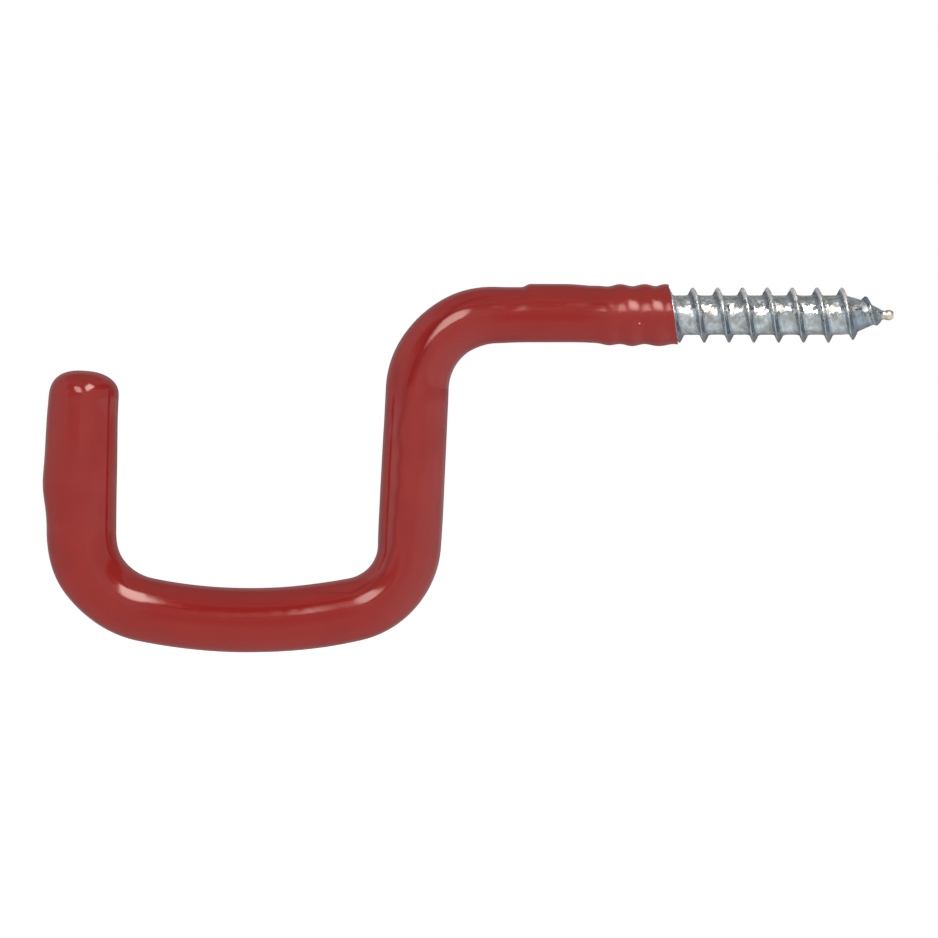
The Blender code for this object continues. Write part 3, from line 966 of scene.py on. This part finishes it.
class HOOK_OT_steel(Operator):
    """Builds the steel: the bent rod joined to its rolled thread"""

    bl_idname = "hook.steel"
    bl_label = "Build steel hook"

    def execute(self, context):
        scene = context.scene
        rod = scene.hook_rod
        screw = scene.hook_screw
        material = steel_material(scene.hook_finish)
        thread = thread_solid(ThreadForm(rod, screw), screw.screw_length, 0.0, THREAD_STEPS, dents=True)
        steel = new_object("bent_steel_rod", rod_solid(RodPath(rod), rod, screw, 0.0), material)
        combine(steel, "UNION", new_object("thread", thread))
        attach(steel, "root")
        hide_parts("steel_hook")
        return {"FINISHED"}


class HOOK_OT_coat(Operator):
    """Builds the dipped vinyl, bored out for the steel"""

    bl_idname = "hook.coat"
    bl_label = "Build vinyl coat"

    def execute(self, context):
        scene = context.scene
        rod = scene.hook_rod
        screw = scene.hook_screw
        coat = scene.hook_coat
        path = RodPath(rod)
        form = CoatForm(path, rod, screw, coat)
        thread = ThreadForm(rod, screw)
        bore = thread_solid(thread, screw.pitch, coat.bond_gap, BORE_THREAD_STEPS, dents=False)
        material = vinyl_material(scene.hook_finish)
        vinyl = new_object("dipped_vinyl_coat", coat_solid(path, form, coat), material)
        combine(vinyl, "DIFFERENCE", new_object("rod_bore", rod_solid(path, rod, screw, coat.bond_gap)))
        combine(vinyl, "DIFFERENCE", new_object("thread_bore", bore))
        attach(vinyl, "root")
        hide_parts("vinyl_coating")
        return {"FINISHED"}


def aim(obj, target):
    """Turns a lamp or a camera towards a point."""
    obj.rotation_euler = (target - obj.location).to_track_quat("-Z", "Y").to_euler()


def brightness_by_ray(tree, camera, gloss, light):
    """The background's brightness as the camera sees it, as gloss and glass show it, and as a light."""
    rays = tree.nodes.new("ShaderNodeLightPath").outputs
    either = maths(tree, "MAXIMUM", rays["Is Glossy Ray"], rays["Is Transmission Ray"])
    shown = mix(tree, either, light, gloss, "VALUE")
    return mix(tree, rays["Is Camera Ray"], shown, camera, "VALUE")


def floor_material(studio):
    """A pale floor that shows white and keeps the hook's shadow."""
    material, tree, shader = new_material("pale_floor")
    place = tree.nodes.new("ShaderNodeTexCoord").outputs["Object"]
    away = vector_maths(tree, "SUBTRACT", place, (studio.aim_x, 0.0, studio.aim_z))["Vector"]
    tones = {"Left": studio.floor_left, "Right": studio.floor_right}
    room = use_group(tree, "Room tone", away, tones)
    values = {
        "Base Color": brightness_by_ray(tree, FLOOR_PALE, 0.0, FLOOR_PALE),
        "Roughness": 1.0,
        "Specular IOR Level": 0.0,
        "Emission Color": WHITE,
        "Emission Strength": brightness_by_ray(tree, studio.floor_lift, room, studio.floor_light),
    }
    put(shader, values)
    return material


# A dark part of the studio: how much it darkens, and the azimuths and elevations in degrees
# between which it starts and ends. Azimuth 0 is in front of the hook, and 90 on its right.
Shade = namedtuple("Shade", "amount azimuth elevation")
SHADES = (
    Shade(0.38, None, (46, 60, 100, 120)),
    Shade(0.60, (-64, -48, 100, 120), (18, 30, 42, 56)),
    Shade(0.55, (-46, -36, -6, -2), (1, 8, 20, 30)),
    Shade(0.55, (38, 48, 92, 106), (20, 27, 44, 54)),
    Shade(0.55, (92, 102, 116, 126), (-4, 4, 36, 46)),
)


def window(tree, value, edges):
    """1 for values inside soft edges, and 0 outside. The edges are in degrees, and values in radians."""
    low, low_end, high, high_end = (radians(edge) for edge in edges)
    return product(tree, between(tree, value, low, low_end), between(tree, value, high, high_end, 1.0, 0.0))


def studio_light(tree, way):
    """How much of the room's light is left in a direction. It is darker above and beside the lamps."""
    axes = axes_of(tree, way)
    azimuth = maths(tree, "ARCTAN2", axes["X"], maths(tree, "MULTIPLY", axes["Y"], -1.0))
    elevation = maths(tree, "ARCSINE", axes["Z"])
    left = []
    for shade in SHADES:
        dark = window(tree, elevation, shade.elevation)
        if shade.azimuth:
            dark = product(tree, dark, window(tree, azimuth, shade.azimuth))
        left.append(between(tree, dark, 0.0, 1.0, 1.0, 1.0 - shade.amount))
    return product(tree, *left)


# A soft box, as the hook's gloss shows it: where it is brightest, as an azimuth and an elevation in degrees,
# and its corners, anticlockwise seen from the hook, each with how soft the side after it is
SoftBox = namedtuple("SoftBox", "bright corners")
RIGHT_BOX = SoftBox(
    (25, 38),
    ((8.5, 15.5, 1.5), (35, 37.5, 2.5), (33, 45, 6), (20, 58.5, 4), (11, 50, 3), (5.5, 40, 2), (4.5, 29, 2)),
)
LEFT_BOX = SoftBox(
    (-12, 24),
    (
        (-2.8, 12, 1.5),
        (-3.2, 20, 2),
        (-5.2, 31, 4),
        (-11, 39.5, 5),
        (-24, 40.5, 5),
        (-28, 34, 3),
        (-16, 15, 2),
    ),
)
BOX_CORE = radians(4.0)
BOX_REACH = radians(26.0)
BOX_FALL = 0.80


def direction(azimuth, elevation):
    """The unit vector towards a place in the studio, given in degrees."""
    turned = radians(azimuth)
    raised = radians(elevation)
    level = cos(raised)
    return Vector((sin(turned) * level, -cos(turned) * level, sin(raised)))


def soft_box(tree, way, box):
    """The light from a soft box in a direction: 1 where it is brightest, and 0 outside."""
    centred = vector_maths(tree, "DOT_PRODUCT", way, direction(*box.bright))["Value"]
    lit = [between(tree, centred, cos(BOX_REACH), cos(BOX_CORE), BOX_FALL, 1.0)]
    corners = box.corners
    for (*corner, soft), (*following, _) in zip(corners, corners[1:] + corners[:1]):
        side = direction(*corner).cross(direction(*following)).normalized()
        inside = vector_maths(tree, "DOT_PRODUCT", way, side)["Value"]
        edge = sin(radians(soft))
        lit.append(between(tree, inside, -edge / 2, edge))
    return product(tree, *lit)


def new_world(studio):
    """White where the camera looks. As a light it is pale, and in gloss it is a room with darker parts.

    Its soft boxes show only in gloss. The key lamp gives their light.
    """
    world = bpy.data.worlds.new("pale_studio")
    bpy.context.scene.world = world
    world.use_nodes = True
    tree = world.node_tree
    way = tree.nodes.new("ShaderNodeTexCoord").outputs["Generated"]
    tones = {"Left": studio.room_left, "Right": studio.room_right}
    in_gloss = product(tree, use_group(tree, "Room tone", way, tones), studio_light(tree, way))
    walls = tree.nodes["Background"]
    put(walls, {"Color": WHITE, "Strength": brightness_by_ray(tree, 1.0, in_gloss, studio.ambient)})

    right = maths(tree, "MULTIPLY", soft_box(tree, way, RIGHT_BOX), studio.right_box)
    left = maths(tree, "MULTIPLY", soft_box(tree, way, LEFT_BOX), studio.left_box)
    mirrored = tree.nodes.new("ShaderNodeLightPath").outputs["Is Glossy Ray"]
    strength = product(tree, maths(tree, "ADD", right, left), mirrored)
    lamps = add_node(tree, "ShaderNodeBackground", {"Color": rgba(studio.box_colour), "Strength": strength})
    whole = add_node(tree, "ShaderNodeAddShader", {0: walls.outputs[0], 1: lamps.outputs[0]})
    put(tree.nodes["World Output"], {"Surface": whole.outputs[0]})


class HOOK_OT_studio(Operator):
    """Sets up the camera, the lamps, the surrounding light and the floor"""

    bl_idname = "hook.studio"
    bl_label = "Set up studio"

    def execute(self, context):
        scene = context.scene
        studio = scene.hook_studio
        target = Vector((studio.aim_x, 0.0, studio.aim_z))
        scene.view_settings.view_transform = "Standard"

        eye = bpy.data.cameras.new("camera")
        eye.lens = studio.lens
        camera = bpy.data.objects.new("camera", eye)
        scene.collection.objects.link(camera)
        camera.location = target + Vector((0.0, -studio.frame_width * studio.lens / eye.sensor_width, 0.0))
        aim(camera, target)
        scene.camera = camera

        bm = bmesh.new()
        bmesh.ops.create_grid(bm, x_segments=1, y_segments=1, size=studio.floor_size / 2)
        bmesh.ops.translate(bm, verts=bm.verts, vec=(0.0, 0.0, -studio.floor_drop))
        floor = new_object("floor", bm, floor_material(studio))

        key = bpy.data.lights.new("key", "SUN")
        key.energy = studio.key
        key.angle = KEY_WIDTH
        sun = bpy.data.objects.new("key", key)
        scene.collection.objects.link(sun)
        sun.location = target + Vector(KEY_PLACE)
        aim(sun, target)
        sun.visible_camera = False
        sun.visible_glossy = False

        new_world(studio)
        return {"FINISHED"}


SETTINGS = (
    ("hook_rod", "Rod", RodSizes),
    ("hook_screw", "Screw", ScrewSizes),
    ("hook_coat", "Vinyl", CoatSizes),
    ("hook_finish", "Finishes", Finishes),
    ("hook_studio", "Studio", StudioSettings),
)
OPERATORS = (HOOK_OT_steel, HOOK_OT_coat, HOOK_OT_studio)


class HOOK_PT_panel(Panel):
    """Lists the hook's sizes and finishes, and its operators"""

    bl_idname = "HOOK_PT_panel"
    bl_label = "Storage Hook"
    bl_space_type = "VIEW_3D"
    bl_region_type = "UI"
    bl_category = "Storage Hook"

    def draw(self, context):
        for name, title, kind in SETTINGS:
            box = self.layout.box()
            box.label(text=title)
            for setting in kind.__annotations__:
                box.prop(getattr(context.scene, name), setting)
        for operator in OPERATORS:
            self.layout.operator(operator.bl_idname)


CLASSES = (*(kind for _, _, kind in SETTINGS), *OPERATORS, HOOK_PT_panel)


def register():
    for kind in CLASSES:
        bpy.utils.register_class(kind)
    for name, _, kind in SETTINGS:
        setattr(bpy.types.Scene, name, PointerProperty(type=kind))


def unregister():
    for name, _, _ in SETTINGS:
        delattr(bpy.types.Scene, name)
    for kind in reversed(CLASSES):
        bpy.utils.unregister_class(kind)


def main():
    register()
    bpy.ops.hook.steel()
    bpy.ops.hook.coat()
    bpy.ops.hook.studio()


if __name__ == "__main__":
    main()
